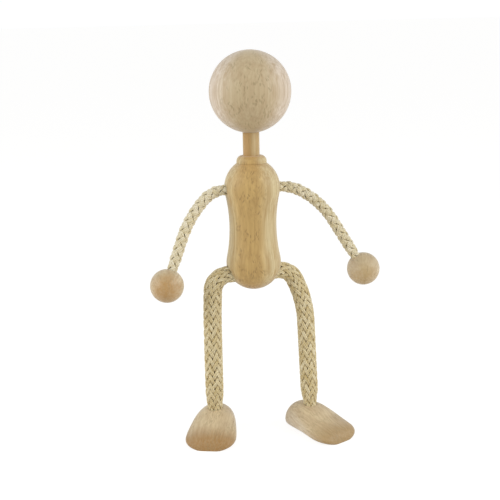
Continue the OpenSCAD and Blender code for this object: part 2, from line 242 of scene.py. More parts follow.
        # Painted shade: over the given span along the grain the wood turns towards the end colour, whatever
        # way the surface faces, which on the feet darkens the toe's lower front.
        if self.painted_shade_span:
            start, stop, share = self.painted_shade_span
            painted_end_shade = add("ShaderNodeMapRange", {
                "Value": split.outputs[2], "From Min": start, "From Max": stop, "To Max": share,
            }, interpolation_type="SMOOTHSTEP")
            end_grain_and_painted_shade = add("ShaderNodeMath", {0: end_grain_and_painted_shade, 1: painted_end_shade}, operation="MAXIMUM")

        # On a ball or turned body the paler edge colour lies at its sides, partly as the wood's own
        # quarter-sawn face and partly as painted sheen.
        body = add("ShaderNodeMix", {
            MIX_SHARE: flatness, MIX_FROM: linear(self.edge), MIX_TO: linear(self.flat),
        }, data_type="RGBA")
        darker = add("ShaderNodeMath", {
            0: add("ShaderNodeMath", {0: tint, 1: self.band_share}, operation="MULTIPLY"),
            1: add("ShaderNodeMath", {
                0: streaks, 1: self.streak_share,
                2: add("ShaderNodeMath", {0: rings, 1: self.ring_share}, operation="MULTIPLY"),
            }, operation="MULTIPLY_ADD"),
        }, operation="ADD", use_clamp=True)
        body = add("ShaderNodeMix", {
            MIX_SHARE: darker, MIX_FROM: body.outputs[MIXED], MIX_TO: linear(self.late),
        }, data_type="RGBA")

        # End grain drinks the light, so the wood is browner where fibres stand on end, dark ones most. Where
        # a span of painted shade is given, the same end colour also paints shade over that end of the piece.
        end_grain_and_shade_share = add("ShaderNodeMath", {
            0: end_grain_and_painted_shade, 1: add("ShaderNodeMapRange", {"Value": streaks, "To Min": 0.8}),
        }, operation="MULTIPLY")
        body = add("ShaderNodeMix", {
            MIX_SHARE: end_grain_and_shade_share, MIX_FROM: body.outputs[MIXED], MIX_TO: linear(self.end),
        }, data_type="RGBA")
        flecks = add("ShaderNodeMath", {0: dashes, 1: patches}, operation="MULTIPLY")
        strength = add("ShaderNodeMapRange", {
            "Value": add("ShaderNodeMath", {0: flatness, 1: end_grain_and_painted_shade}, operation="MAXIMUM"),
            "To Min": 0.15 * self.ray_share, "To Max": self.ray_share,
        })
        colour = add("ShaderNodeMix", {
            MIX_SHARE: add("ShaderNodeMath", {0: flecks, 1: strength}, operation="MULTIPLY"),
            MIX_FROM: body.outputs[MIXED], MIX_TO: linear(self.ray),
        }, data_type="RGBA")

        # Dark streaks and flecks are the softer wood, which sanding wears a few hundredths deeper.
        height = add("ShaderNodeMath", {0: streaks, 1: -0.5, 2: 0.5}, operation="MULTIPLY_ADD")
        bump = add("ShaderNodeBump", {
            "Height": add("ShaderNodeMath", {0: height, 1: flecks}, operation="SUBTRACT"),
            "Strength": 0.3, "Distance": 0.06 * MM,
        })
        skin = add("ShaderNodeBsdfPrincipled", {
            "Base Color": colour.outputs[MIXED], "IOR": 1.5, "Normal": bump,
            "Roughness": add("ShaderNodeMapRange", {"Value": streaks, "To Min": 0.48, "To Max": 0.62}),
            "Sheen Weight": 0.3, "Sheen Roughness": 0.45,
        })
        tree.links.new(skin.outputs[0], output.inputs[0])
        return material


# Pale beech, of which the balls and feet are made, and the browner beech of body and neck. Their edge
# colours are paler partly as the wood's own and partly as painted sheen at the sides of round pieces.
PALE = {"flat": "#cbb891", "edge": "#eadccb", "late": "#b69b76", "ray": "#94815a", "end": "#bca67e"}
WARM = {"flat": "#d0ad6b", "edge": "#dccb9d", "late": "#ae8b52", "ray": "#8b6d40", "end": "#bd9459"}


@dataclass(frozen=True)
class CottonBraid:
    """Natural cotton yarn, braided, which looks dull and slightly fuzzy, with painted shade where strands
    dive.

    The twist is the pitch of a yarn's turns in millimetres and the slant their angle in degrees.
    """

    name: str
    light: str
    dark: str
    painted_pit_shade: str
    twist: float = 0.8
    slant: float = 38.0

    def material(self) -> bpy.types.Material:
        """Builds the yarn's material, which reads the strand's own map and its depth in the braid.

        Returns:
            The material.
        """
        material, tree, output = new_material(self.name)
        add = partial(add_node, tree)
        depth = add("ShaderNodeAttribute", attribute_name="depth").outputs["Fac"]
        tone = add("ShaderNodeAttribute", attribute_name="tone").outputs["Fac"]

        # The map is in millimetres. A yarn's twist is drawn at about twice its real pitch and its fibres
        # as lines 0.4 mm wide, because the real ones are too fine to show.
        strand = add("ShaderNodeUVMap", uv_map="strand")
        turned = add("ShaderNodeMapping", {"Vector": strand, "Rotation": (0, 0, math.radians(self.slant))})
        twist = add("ShaderNodeTexWave", {
            "Vector": turned, "Scale": WAVE_LENGTH / self.twist, "Distortion": 1.2, "Detail": 2.0,
            "Detail Scale": 1.4,
        }, wave_type="BANDS", bands_direction="X").outputs["Fac"]
        drawn_out = add("ShaderNodeMapping", {"Vector": strand, "Scale": (0.22, 2.4, 1.0)})
        fibres = add("ShaderNodeTexNoise", {
            "Vector": drawn_out, "Scale": 1.0, "Detail": 2.0, "Roughness": 0.6,
        }).outputs["Fac"]
        yarns = add("ShaderNodeMapRange", {"Value": fibres, "From Min": 0.36, "From Max": 0.64})
        fluff = add("ShaderNodeTexNoise", {
            "Vector": add("ShaderNodeTexCoord").outputs["Object"], "Scale": 1 / (0.7 * MM), "Detail": 3.0,
            "Roughness": 0.65,
        }).outputs["Fac"]

        soft = add("ShaderNodeMath", {0: fluff, 1: 0.5, 2: tone}, operation="MULTIPLY_ADD")
        lit = add("ShaderNodeMath", {0: twist, 1: 0.25, 2: soft}, operation="MULTIPLY_ADD")
        lined = add("ShaderNodeMath", {0: yarns, 1: 0.5, 2: lit}, operation="MULTIPLY_ADD")
        shade = add("ShaderNodeMath", {0: lined, 1: 0.32}, operation="SUBTRACT", use_clamp=True)
        yarn = add("ShaderNodeMix", {
            MIX_SHARE: shade, MIX_FROM: linear(self.dark), MIX_TO: linear(self.light),
        }, data_type="RGBA")
        # Painted shade: the deeper a point lies in the braid, the more it takes the pit colour, which stands
        # for the shade in the pits where strands dive.
        painted_shade_share = add("ShaderNodeMapRange", {
            "Value": depth, "From Min": 0.35, "From Max": 0.95,
        }, interpolation_type="SMOOTHSTEP")
        colour = add("ShaderNodeMix", {
            MIX_SHARE: painted_shade_share, MIX_FROM: yarn.outputs[MIXED], MIX_TO: linear(self.painted_pit_shade),
        }, data_type="RGBA")
        bump = add("ShaderNodeBump", {"Height": shade, "Strength": 0.5, "Distance": 0.12 * MM})
        skin = add("ShaderNodeBsdfPrincipled", {
            "Base Color": colour.outputs[MIXED], "Roughness": 0.9, "Specular IOR Level": 0.2,
            "Sheen Weight": 0.4, "Sheen Roughness": 0.6, "Sheen Tint": linear("#eef4ff"), "Normal": bump,
        })
        tree.links.new(skin.outputs[0], output.inputs[0])
        return material


@dataclass(frozen=True)
class SoftWire:
    """Annealed steel wire, as doll makers use, which looks grey and dull."""

    name: str = "annealed steel wire"
    grey: str = "#8d8f92"
    bright: str = "#a5a7aa"

    def material(self) -> bpy.types.Material:
        """Builds the wire's material.

        Returns:
            The material.
        """
        material, tree, output = new_material(self.name)
        add = partial(add_node, tree)
        drawn = add("ShaderNodeTexNoise", {
            "Vector": add("ShaderNodeTexCoord").outputs["Object"], "Scale": 1 / (0.4 * MM), "Detail": 2.0,
        })
        tone = add("ShaderNodeValToRGB", {"Fac": drawn}, stops=((0.3, self.grey), (0.7, self.bright)))
        skin = add("ShaderNodeBsdfPrincipled", {"Base Color": tone, "Metallic": 1.0, "Roughness": 0.42})
        tree.links.new(skin.outputs[0], output.inputs[0])
        return material


@dataclass(frozen=True)
class Stretch:
    """One step of a limb's route: its length in millimetres and the angle in degrees that it turns down."""

    length: float
    turn: float = 0.0


@dataclass
class Route:
    """The middle line of a limb's cord, from the torso's side outwards.

    It lies in a plane through the hole. Sizes are in millimetres and angles in degrees.
    """

    side: int
    mouth: float
    height: float
    swing: float
    steps: tuple[Stretch, ...]

    def length(self) -> float:
        """Returns the route's whole length in millimetres."""
        return sum(s.length for s in self.steps)

    def start_of(self, index: int) -> float:
        """Returns the distance at which a step starts."""
        return sum(s.length for s in self.steps[:index])

    def flat(self, runs: np.ndarray) -> tuple[np.ndarray, np.ndarray, np.ndarray]:
        """Follows the route within its own plane.

        Args:
            runs: distances from the mouth of the hole, of any shape.

        Returns:
            How far out, how far up and the angle below level, in radians, at each distance.
        """
        out, up, angle = runs.astype(float).copy(), np.zeros(runs.shape), np.zeros(runs.shape)
        x = z = a = at = 0.0
        for number, step in enumerate(self.steps):
            bend = math.radians(step.turn) / step.length
            last = number == len(self.steps) - 1
            inside = (runs >= at) if last else (runs >= at) & (runs < at + step.length)
            d = runs[inside] - at
            if not step.turn:
                out[inside], up[inside], angle[inside] = x + d * math.cos(a), z - d * math.sin(a), a
                x, z = x + step.length * math.cos(a), z - step.length * math.sin(a)
            else:
                to = a + bend * d
                out[inside] = x + (np.sin(to) - math.sin(a)) / bend
                up[inside] = z + (np.cos(to) - math.cos(a)) / bend
                angle[inside] = to
                end = a + bend * step.length
                x, z = x + (math.sin(end) - math.sin(a)) / bend, z + (math.cos(end) - math.cos(a)) / bend
                a = end
            at += step.length
        return out, up, angle

    def frames(self, runs: np.ndarray) -> tuple[np.ndarray, np.ndarray, np.ndarray, np.ndarray]:
        """Gives the cord's own axes along the route.

        Args:
            runs: distances from the mouth of the hole, in millimetres, of any shape.

        Returns:
            Middle points in metres, and unit vectors along the route, square to its plane and in its plane.
        """
        out, up, angle = self.flat(runs)
        s, c = math.sin(math.radians(self.swing)), math.cos(math.radians(self.swing))
        middle = np.stack([
            TORSO_AXIS[0] + self.side * (self.mouth + out), TORSO_AXIS[1] + up * s, self.height + up * c,
        ], -1) * MM
        along = np.stack([self.side * np.cos(angle), -np.sin(angle) * s, -np.sin(angle) * c], -1)
        across = np.broadcast_to(np.array([0.0, c, -s]), along.shape)
        return middle, along, across, np.cross(along, across)

    def point(self, run: float) -> Vector:
        """Returns the middle point at one distance, in metres."""
        return Vector(self.frames(np.array([run]))[0][0])

    def heading(self, run: float) -> Vector:
        """Returns the direction in which the route runs at one distance."""
        return Vector(self.frames(np.array([run]))[1][0])


class MeshParts:
    """Collects tubes into one mesh, with the strand map, tone and depth that the yarn's finish reads."""

    def __init__(self) -> None:
        """Starts with no tubes."""
        self.points: list[np.ndarray] = []
        self.faces: list[tuple[int, ...]] = []
        self.maps: list[np.ndarray] = []
        self.tones: list[np.ndarray] = []
        self.depths: list[np.ndarray] = []
        self.count = 0

    def add_tube(self, rings: np.ndarray, strand_map: np.ndarray, tone: float, depth: np.ndarray) -> None:
        """Adds a closed tube.

        Args:
            rings: points in metres, by ring and by place round the ring.
            strand_map: a flat place in millimetres for each point.
            tone: how light this tube is.
            depth: how deep each point lies in the braid, 0 outside and 1 at the core.
        """
        n, sides = rings.shape[:2]
        index = self.count + np.arange(n * sides).reshape(n, sides)
        a, b = index[:-1], index[1:]
        quads = np.stack([a, np.roll(a, -1, 1), np.roll(b, -1, 1), b], -1).reshape(-1, 4)
        self.faces += [tuple(q) for q in quads.tolist()]
        self.faces += [tuple(index[0, ::-1].tolist()), tuple(index[-1].tolist())]
        self.points.append(rings.reshape(-1, 3))
        self.maps.append(strand_map.reshape(-1, 2))
        self.tones.append(np.full(n * sides, tone))
        self.depths.append(np.broadcast_to(depth, (n, sides)).reshape(-1))
        self.count += n * sides

    def build(self, name: str) -> bpy.types.Object:
        """Makes the object.

        Args:
            name: the object's name.

        Returns:
            A smooth-shaded mesh object at the origin.
        """
        mesh = bpy.data.meshes.new(name)
        mesh.from_pydata(np.concatenate(self.points).tolist(), [], self.faces)
        for label, values in (("tone", self.tones), ("depth", self.depths)):
            layer = mesh.attributes.new(label, "FLOAT", "POINT")
            layer.data.foreach_set("value", np.concatenate(values).astype(np.float32))
        corners = np.zeros(len(mesh.loops), np.int32)
        mesh.loops.foreach_get("vertex_index", corners)
        flat_map = np.concatenate(self.maps)[corners].astype(np.float32)
        mesh.uv_layers.new(name="strand").data.foreach_set("uv", flat_map.ravel())
        mesh.shade_smooth()
        piece = bpy.data.objects.new(name, mesh)
        bpy.context.scene.collection.objects.link(piece)
        bpy.ops.object.select_all(action="DESELECT")
        piece.select_set(True)
        bpy.context.view_layer.objects.active = piece
        bpy.ops.object.mode_set(mode="EDIT")
        bpy.ops.mesh.select_all(action="SELECT")
        bpy.ops.mesh.normals_make_consistent(inside=False)
        bpy.ops.object.mode_set(mode="OBJECT")
        return piece


@dataclass(frozen=True)
class WidthChange:
    """A place where the wood squeezes the cord to a share of its width.

    The cord keeps its whole width up to the start and has that share from the end on. Both are distances
    along it in millimetres, and where the squeeze lies towards the torso, the end is the smaller one.
    """

    start: float
    end: float
    share: float

    def share_at(self, runs: np.ndarray) -> np.ndarray:
        """Returns the share of the cord's width at each distance."""
        t = np.clip((runs - self.start) / (self.end - self.start), 0, 1)
        return 1 - (1 - self.share) * t * t * (3 - 2 * t)


def round_grid(runs: np.ndarray, sides: int) -> tuple[np.ndarray, np.ndarray]:
    """Lays a grid along a round cord.

    Args:
        runs: distances along the cord.
        sides: how many points lie round it.

    Returns:
        The distance along the cord and the angle round it at each point.
    """
    turns = np.linspace(0, 2 * math.pi, sides + 1)[:-1]
    return runs[:, None] + 0 * turns[None, :], turns[None, :] + 0 * runs[:, None]


@dataclass(frozen=True)
class Braid:
    """A round braid of flat strands, half of them winding each way. Sizes are in millimetres.

    With 8 strands each passes over one and under one, and with 24 over two and under two. The strands that
    wind one way lie on top in every other column along the cord. The lay is the length of one whole turn,
    and the crisper the braid, the more steeply a strand dives.
    """

    diameter: float
    strands: int
    lay: float
    strand_thick: float
    strand_wide: float
    yarns: int
    crisp: float
    columns: int
    seed: int
    ring_step: float = 0.45
    lift_share: float = 0.46
    core_share: float = 0.22
    core_sides: int = 24

    # How much lighter or darker a strand may be, how far it may stray, over which lengths it rises and
    # sways, and how far apart two strands lie on the map
    tones: tuple[float, float] = (-0.16, 0.16)
    stray: tuple[float, float] = (0.02, 0.06)
    rise_wave: float = 3.1
    sway_wave: float = 4.7
    map_gap: float = 7.3

    def lift(self) -> float:
        """Returns how far a strand rises and dips from the braid's middle."""
        return self.strand_thick * self.lift_share

    def middle_radius(self) -> float:
        """Returns the radius that the strands weave about."""
        return self.diameter / 2 - self.lift() - self.strand_thick / 2

    def outline(self) -> tuple[np.ndarray, np.ndarray]:
        """Draws a strand's section, a flat bundle of yarns side by side.

        Returns:
            The place across the strand and the height over its middle, round the section.
        """
        across = np.linspace(-0.5, 0.5, 4 * self.yarns + 1)
        shoulder = np.sqrt(np.clip(1 - (2 * np.abs(across)) ** 3.2, 0, 1))
        crown = np.abs(np.sin(math.pi * self.yarns * (across + 0.5)))
        top = 0.5 * shoulder * (0.58 + 0.42 * crown ** 0.7)
        under = np.linspace(0.38, -0.38, 4)
        below = np.full(4, -0.5) * np.sqrt(1 - (2 * under) ** 2 * 0.5)
        return (np.concatenate([across, under]) * self.strand_wide,
                np.concatenate([top, below]) * self.strand_thick)

    def piece(self, name: str, route: Route, start: float, end: float,
              narrow: tuple[WidthChange, ...] = ()) -> bpy.types.Object:
        """Builds the braid along part of a route, round its filling.

        Args:
            name: the object's name.
            route: the cord's middle line.
            start: where it starts on the route, in millimetres.
            end: where it ends.
            narrow: where the braid narrows.

        Returns:
            The braid as one object.
        """
        rng = random.Random(self.seed)
        runs = np.linspace(start, end, max(3, round((end - start) / self.ring_step)) + 1)
        parts = MeshParts()
        radius, half = self.middle_radius(), self.strands // 2
        slope = math.atan(2 * math.pi * radius / self.lay)
        across, height = self.outline()
        for way in (1, -1):
            # Where strands go over two and under two, the second set starts half a place on, so that they
            # never cross at a dive.
            shift = 0.5 if way < 0 and half >= self.columns else 0.0
            for number in range(half):
                tone, stray, phase = rng.uniform(*self.tones), rng.uniform(*self.stray), rng.uniform(0, 6.28)
                sway = stray * np.sin(runs / self.sway_wave + 2 * phase)
                turn = 2 * math.pi * (number + shift) / half + way * 2 * math.pi * runs / self.lay + sway
                wave = np.tanh(self.crisp * np.cos(self.columns / 2 * turn)) / math.tanh(self.crisp)
                rise = way * self.lift() * wave * (1 + stray * np.sin(runs / self.rise_wave + phase))
                round_it = turn[:, None] + across[None, :] * math.cos(slope) / radius
                run_it = runs[:, None] - way * across[None, :] * math.sin(slope)
                reach = radius + rise[:, None] + height[None, :]
                rings = self.wrap(route, run_it, round_it, reach, narrow)
                deep = np.clip((self.diameter / 2 - reach) / (2 * self.lift() + self.strand_thick), 0, 1)
                along = runs[:, None] / math.cos(slope) + 0 * across[None, :]
                beside = across[None, :] + 0 * along + self.map_gap * number
                parts.add_tube(rings, np.stack([along, beside], -1), tone, deep)
        # The filling is given a depth of 1 all over, so it takes the pit colour: a dark tube painted with the
        # shade that fills the braid's inside.
        core = radius - self.lift() - self.strand_thick * self.core_share
        run_it, round_it = round_grid(runs, self.core_sides)
        rings = self.wrap(route, run_it, round_it, core + 0 * run_it, narrow)
        parts.add_tube(rings, np.stack([run_it, round_it * core], -1), 0.0, np.ones(rings.shape[:2]))
        return parts.build(name)

    @staticmethod
    def wrap(route: Route, runs: np.ndarray, turns: np.ndarray, reach: np.ndarray,
             narrow: tuple[WidthChange, ...] = ()) -> np.ndarray:
        """Lays points of the unrolled braid round the route.

        Args:
            route: the cord's middle line.
            runs: distances along it, in millimetres.
            turns: angles round it, in radians.
            reach: distances from it, in millimetres.
            narrow: where the cord narrows.

        Returns:
            The points in metres.
        """
        for place in narrow:
            reach = reach * place.share_at(runs)
        middle, _, square, inner = route.frames(runs)
        ray = np.cos(turns)[..., None] * square + np.sin(turns)[..., None] * inner
        return middle + ray * reach[..., None] * MM


def wire_piece(name: str, route: Route, start: float, end: float, diameter: float) -> bpy.types.Object:
    """Builds the wire along part of a route.

    Args:
        name: the object's name.
        route: the cord's middle line.
        start: where it starts on the route, in millimetres.
        end: where it ends.
        diameter: the wire's diameter.

    Returns:
        The wire as one object.
    """
    runs = np.linspace(start, end, max(4, round((end - start) / WIRE_STEP)) + 1)
    run_it, round_it = round_grid(runs, WIRE_SIDES)
    rings = Braid.wrap(route, run_it, round_it, diameter / 2 + 0 * run_it)
    parts = MeshParts()
    parts.add_tube(rings, np.stack([run_it, round_it], -1), 0.0, np.zeros(rings.shape[:2]))
    return parts.build(name)


class Side(Enum):
    """The puppet's own left, at +X, and right."""

    LEFT = 1
    RIGHT = -1

    def label(self, node: str) -> str:
        """Returns a node's or body's full name on this side."""
        return f"{self.name.lower()}_{node}"


@dataclass
class CordLimb:
    """One arm or leg: its braid and wire in two lengths, which meet in the middle of a stiff stretch.

    Sizes are in millimetres, and wire is the wire's diameter. The cord runs from the root's depth inside the
    torso to the tip's distance along the route. Each bend is a stretch along the route, whose end points
    the build looks up but does not use.
    """

    side: Side
    kind: str
    route: Route
    braid: Braid
    wire: float
    root: float
    tip: float
    first_bend: tuple[float, float]
    second_bend: tuple[float, float]
    bodies: tuple[str, str, str]
    upper_nodes: tuple[str, ...]
    lower_nodes: tuple[str, ...]
    narrow: tuple[WidthChange, ...] = ()

    def build(self, yarn: bpy.types.Material, steel: bpy.types.Material) -> list[bpy.types.Object]:
        """Builds both lengths, each a braid and a wire, and hides the imported nodes they replace.

        Args:
            yarn: the braid's finish.
            steel: the wire's finish.

        Returns:
            The limb's pieces.
        """
        cut = self.route.start_of(2) + self.route.steps[2].length / 2
        pieces = []
        for part, start, end, bend, nodes, pair in (
            ("upper", -self.root, cut, self.first_bend, self.upper_nodes, self.bodies[:2]),
            ("lower", cut, self.tip, self.second_bend, self.lower_nodes, self.bodies[1:]),
        ):
            name = f"{self.side.label(self.kind)}_{part}"
            sleeve = self.braid.piece(f"{name}_braid", self.route, start, end, self.narrow)
            wire = wire_piece(f"{name}_wire", self.route, start, end, self.wire)
            ends = [tuple(self.route.point(run)) for run in bend]
            for piece, finish, suffix, slot in (
                (sleeve, yarn, "", f"{self.kind}_braid"), (wire, steel, "_wire", "wire"),
            ):
                dress(piece, finish)
                [self.side.label(b) for b in pair]
                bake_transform(piece)
                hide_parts(*[self.side.label(n + suffix) for n in nodes])
                pieces.append(piece)
        return pieces


def drill(piece: bpy.types.Object, bottom: Vector, way: Vector, deep: float, bore: float,
          edge: float) -> None:
    """Drills a hole for a cord and sands the sharp edges.

    Args:
        piece: the solid piece.
        bottom: the middle of the hole's bottom, in metres.
        way: the direction from there to the mouth.
        deep: how far the bit reaches, in millimetres.
        bore: the hole's diameter.
        edge: how wide the sanded edges are.
    """
    bpy.ops.object.select_all(action="DESELECT")
    bpy.ops.mesh.primitive_cylinder_add(
        vertices=72, radius=bore / 2 * MM, depth=deep * MM, location=bottom + way * deep / 2 * MM,
        rotation=way.to_track_quat("Z", "Y").to_euler(),
    )
    bit = bpy.context.object
    bpy.context.view_layer.objects.active = piece
    hole = piece.modifiers.new("cord hole", "BOOLEAN")
    hole.operation, hole.object, hole.solver = "DIFFERENCE", bit, "EXACT"
    bpy.ops.object.modifier_apply(modifier=hole.name)
    bpy.data.objects.remove(bit)
    rim = piece.modifiers.new("sanded edges", "BEVEL")
    rim.width, rim.segments = edge * MM, 3
    rim.limit_method, rim.angle_limit = "ANGLE", math.radians(42)
    bpy.ops.object.modifier_apply(modifier=rim.name)
    bpy.ops.object.select_all(action="DESELECT")
    piece.select_set(True)
    bpy.ops.object.shade_smooth_by_angle(angle=math.radians(50))


@dataclass
class Hand:
    """A turned wooden ball, drilled for the end of the arm. Sizes are in millimetres."""

    side: Side
    route: Route
    across: float = 16.2
    socket: float = 8.0
    bore: float = 5.0
    edge: float = 0.2

    def build(self, wood: bpy.types.Material) -> bpy.types.Object:
        """Turns the ball and drills it.

        Args:
            wood: the hand's finish.

        Returns:
            The hand as one object.
        """
        end = self.route.length()
        middle, heading = self.route.point(end), self.route.heading(end)
        bpy.ops.object.select_all(action="DESELECT")
        bpy.ops.mesh.primitive_uv_sphere_add(segments=96, ring_count=64, radius=self.across / 2 * MM)
        hand = bpy.context.object
        hand.name = self.side.label("wooden_hand")
        turned = heading.to_track_quat("X", "Z").to_matrix().to_4x4()
        hand.matrix_world = Matrix.Translation(middle) @ turned
        bpy.ops.object.transform_apply(location=True, rotation=True, scale=True)
        bottom = middle + heading * (self.socket - self.across / 2) * MM
        drill(hand, bottom, -heading, self.across, self.bore, self.edge)
        dress(hand, wood)
        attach(hand, self.side.label("forearm"))
        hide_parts(self.side.label("hand"))
        return hand


@dataclass
class Foot:
    """A sanded wooden foot with a narrow heel, a broad toe, a flat sole and a hole for the leg.

    Sizes are in millimetres. The places of its peak, of its full width and of the start of its low toe run
    from -1 at the heel to 1 at the toe, and the higher a round, the squarer that end.
    """

    side: Side
    route: Route
    out: float
    bore: float
    long: float = 37.8
    wide: float = 26.9
    heel_wide: float = 18.2
    high: float = 14.3
    toe_high: float = 8.3
    heel_back: float = 14.0
    ankle_high: float = 14.2926
    end_gap: float = 0.3
    edge: float = 0.35
    peak: float = -0.3
    low_from: float = 0.66
    widest_at: float = 0.94
    heel_round: float = 3.1
    toe_round: float = 3.7
    top_round: float = 2.8
    sole_round: float = 2.2
    belt_share: float = 0.42
    sole_cut: float = 0.7

    @staticmethod
    def ease(a: float, b: float, v: float) -> float:
        """Returns a smooth step from 0 at a to 1 at b."""
        t = min(1.0, max(0.0, (v - a) / (b - a)))
        return t * t * (3 - 2 * t)

    @staticmethod
    def fall(v: float, power: float) -> float:
        """Returns how a size falls away towards both ends."""
        return max(0.0, 1 - abs(v) ** power) ** (1 / power)

    @staticmethod
    def bulge(v: float, power: float) -> float:
        """Returns a circle's sine or cosine made fuller."""
        return math.copysign(abs(v) ** (2 / power), v)

    def surface(self, u: float, angle: float) -> Vector:
        """Gives a point of the foot's surface.

        Args:
            u: the place along the foot, -1 at the heel and 1 at the toe.
            angle: the place round its section, in radians.

        Returns:
            The point in millimetres, with the leg's middle at x = y = 0 and the toes along -Y.
        """
        half = (self.heel_wide + (self.wide - self.heel_wide) * self.ease(-1, self.widest_at, u)) / 2
        half *= self.fall(u, self.toe_round if u > 0 else self.heel_round)
        if u > self.peak:
            top = self.toe_high + (self.high - self.toe_high) * (1 - self.ease(self.peak, self.low_from, u))
            top *= self.fall(max(0.0, u), self.top_round)
        else:
            top = self.high * self.fall((u - self.peak) / (1 + self.peak), self.top_round)
        belt = self.belt_share * top
        s, c = math.sin(angle), math.cos(angle)
        lift = (top - belt) * s if s > 0 else (belt + self.sole_cut) * self.bulge(s, self.sole_round)
        return Vector((half * c, self.heel_back - (u + 1) / 2 * self.long, belt + lift))

    def build(self, wood: bpy.types.Material) -> bpy.types.Object:
        """Shapes the foot from a ball, cuts its sole flat and drills it.

        Args:
            wood: the foot's finish.

        Returns:
            The foot as one object.
        """
        bpy.ops.object.select_all(action="DESELECT")
        bpy.ops.mesh.primitive_uv_sphere_add(segments=72, ring_count=60, radius=1.0)
        foot = bpy.context.object
        foot.name = self.side.label("wooden_foot")
        turn = Matrix.Rotation(math.radians(self.side.value * self.out), 4, "Z")
        ankle = self.route.point(self.ankle_run())
        for vertex in foot.data.vertices:
            x, y, z = vertex.co
            polar = math.acos(max(-1.0, min(1.0, z)))
            u = -math.cos(math.pi / 2 * (1 - math.cos(polar)))
            # A hair's turn keeps every vertex off the belt, where the upper and the lower curve meet.
            shaped = turn @ self.surface(u, math.atan2(y, x) + 1e-4)
            vertex.co = Vector((ankle.x, ankle.y, 0)) + shaped * MM
        bpy.ops.object.mode_set(mode="EDIT")
        bpy.ops.mesh.select_all(action="SELECT")
        bpy.ops.mesh.remove_doubles(threshold=0.01 * MM)
        bpy.ops.mesh.select_all(action="SELECT")
        bpy.ops.mesh.bisect(plane_co=(0, 0, 0), plane_no=(0, 0, 1), use_fill=True, clear_inner=True)
        bpy.ops.mesh.select_all(action="SELECT")
        bpy.ops.mesh.normals_make_consistent(inside=False)
        bpy.ops.object.mode_set(mode="OBJECT")
        tip = self.route.point(self.route.length() + self.end_gap)
        drill(foot, tip, -self.route.heading(self.route.length()), self.high, self.bore, self.edge)
        # The cut leaves what lies within a tenth of a millimetre of its plane, so the sole is pressed level.
        for vertex in foot.data.vertices:
            vertex.co.z = max(vertex.co.z, 0.0)
        dress(foot, wood)
        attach(foot, self.side.label("foot"))
        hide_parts(self.side.label("foot"))
        return foot

    def ankle_run(self) -> float:
        """Finds where the leg meets the foot's top.

        Returns:
            The distance along the leg, to a hundredth of a millimetre.
        """
        run = self.route.length()
        while self.route.point(run).z < self.ankle_high * MM:
            run -= 0.01
        return run


@dataclass(frozen=True)
class Softbox:
    """A square lamp, whose azimuth counts from the camera's.

    Angles are in degrees, sizes in metres and the power in watts.
    """

    name: str
    azimuth: float
    power: float
    rise: float = 24.0
    size: float = 0.62
    distance: float = 0.9


def sight_share(tree: bpy.types.NodeTree) -> bpy.types.Node:
    """Adds the nodes that tell what the camera sees from what only lights the puppet.

    Args:
        tree: the node tree of the floor or the surroundings.

    Returns:
        The node whose output is 1 for the camera and for reflections, and else 0.
    """
    sight = add_node(tree, "ShaderNodeLightPath")
    return add_node(tree, "ShaderNodeMath", {
        0: sight.outputs["Is Camera Ray"], 1: sight.outputs["Is Glossy Ray"],
    }, operation="MAXIMUM")


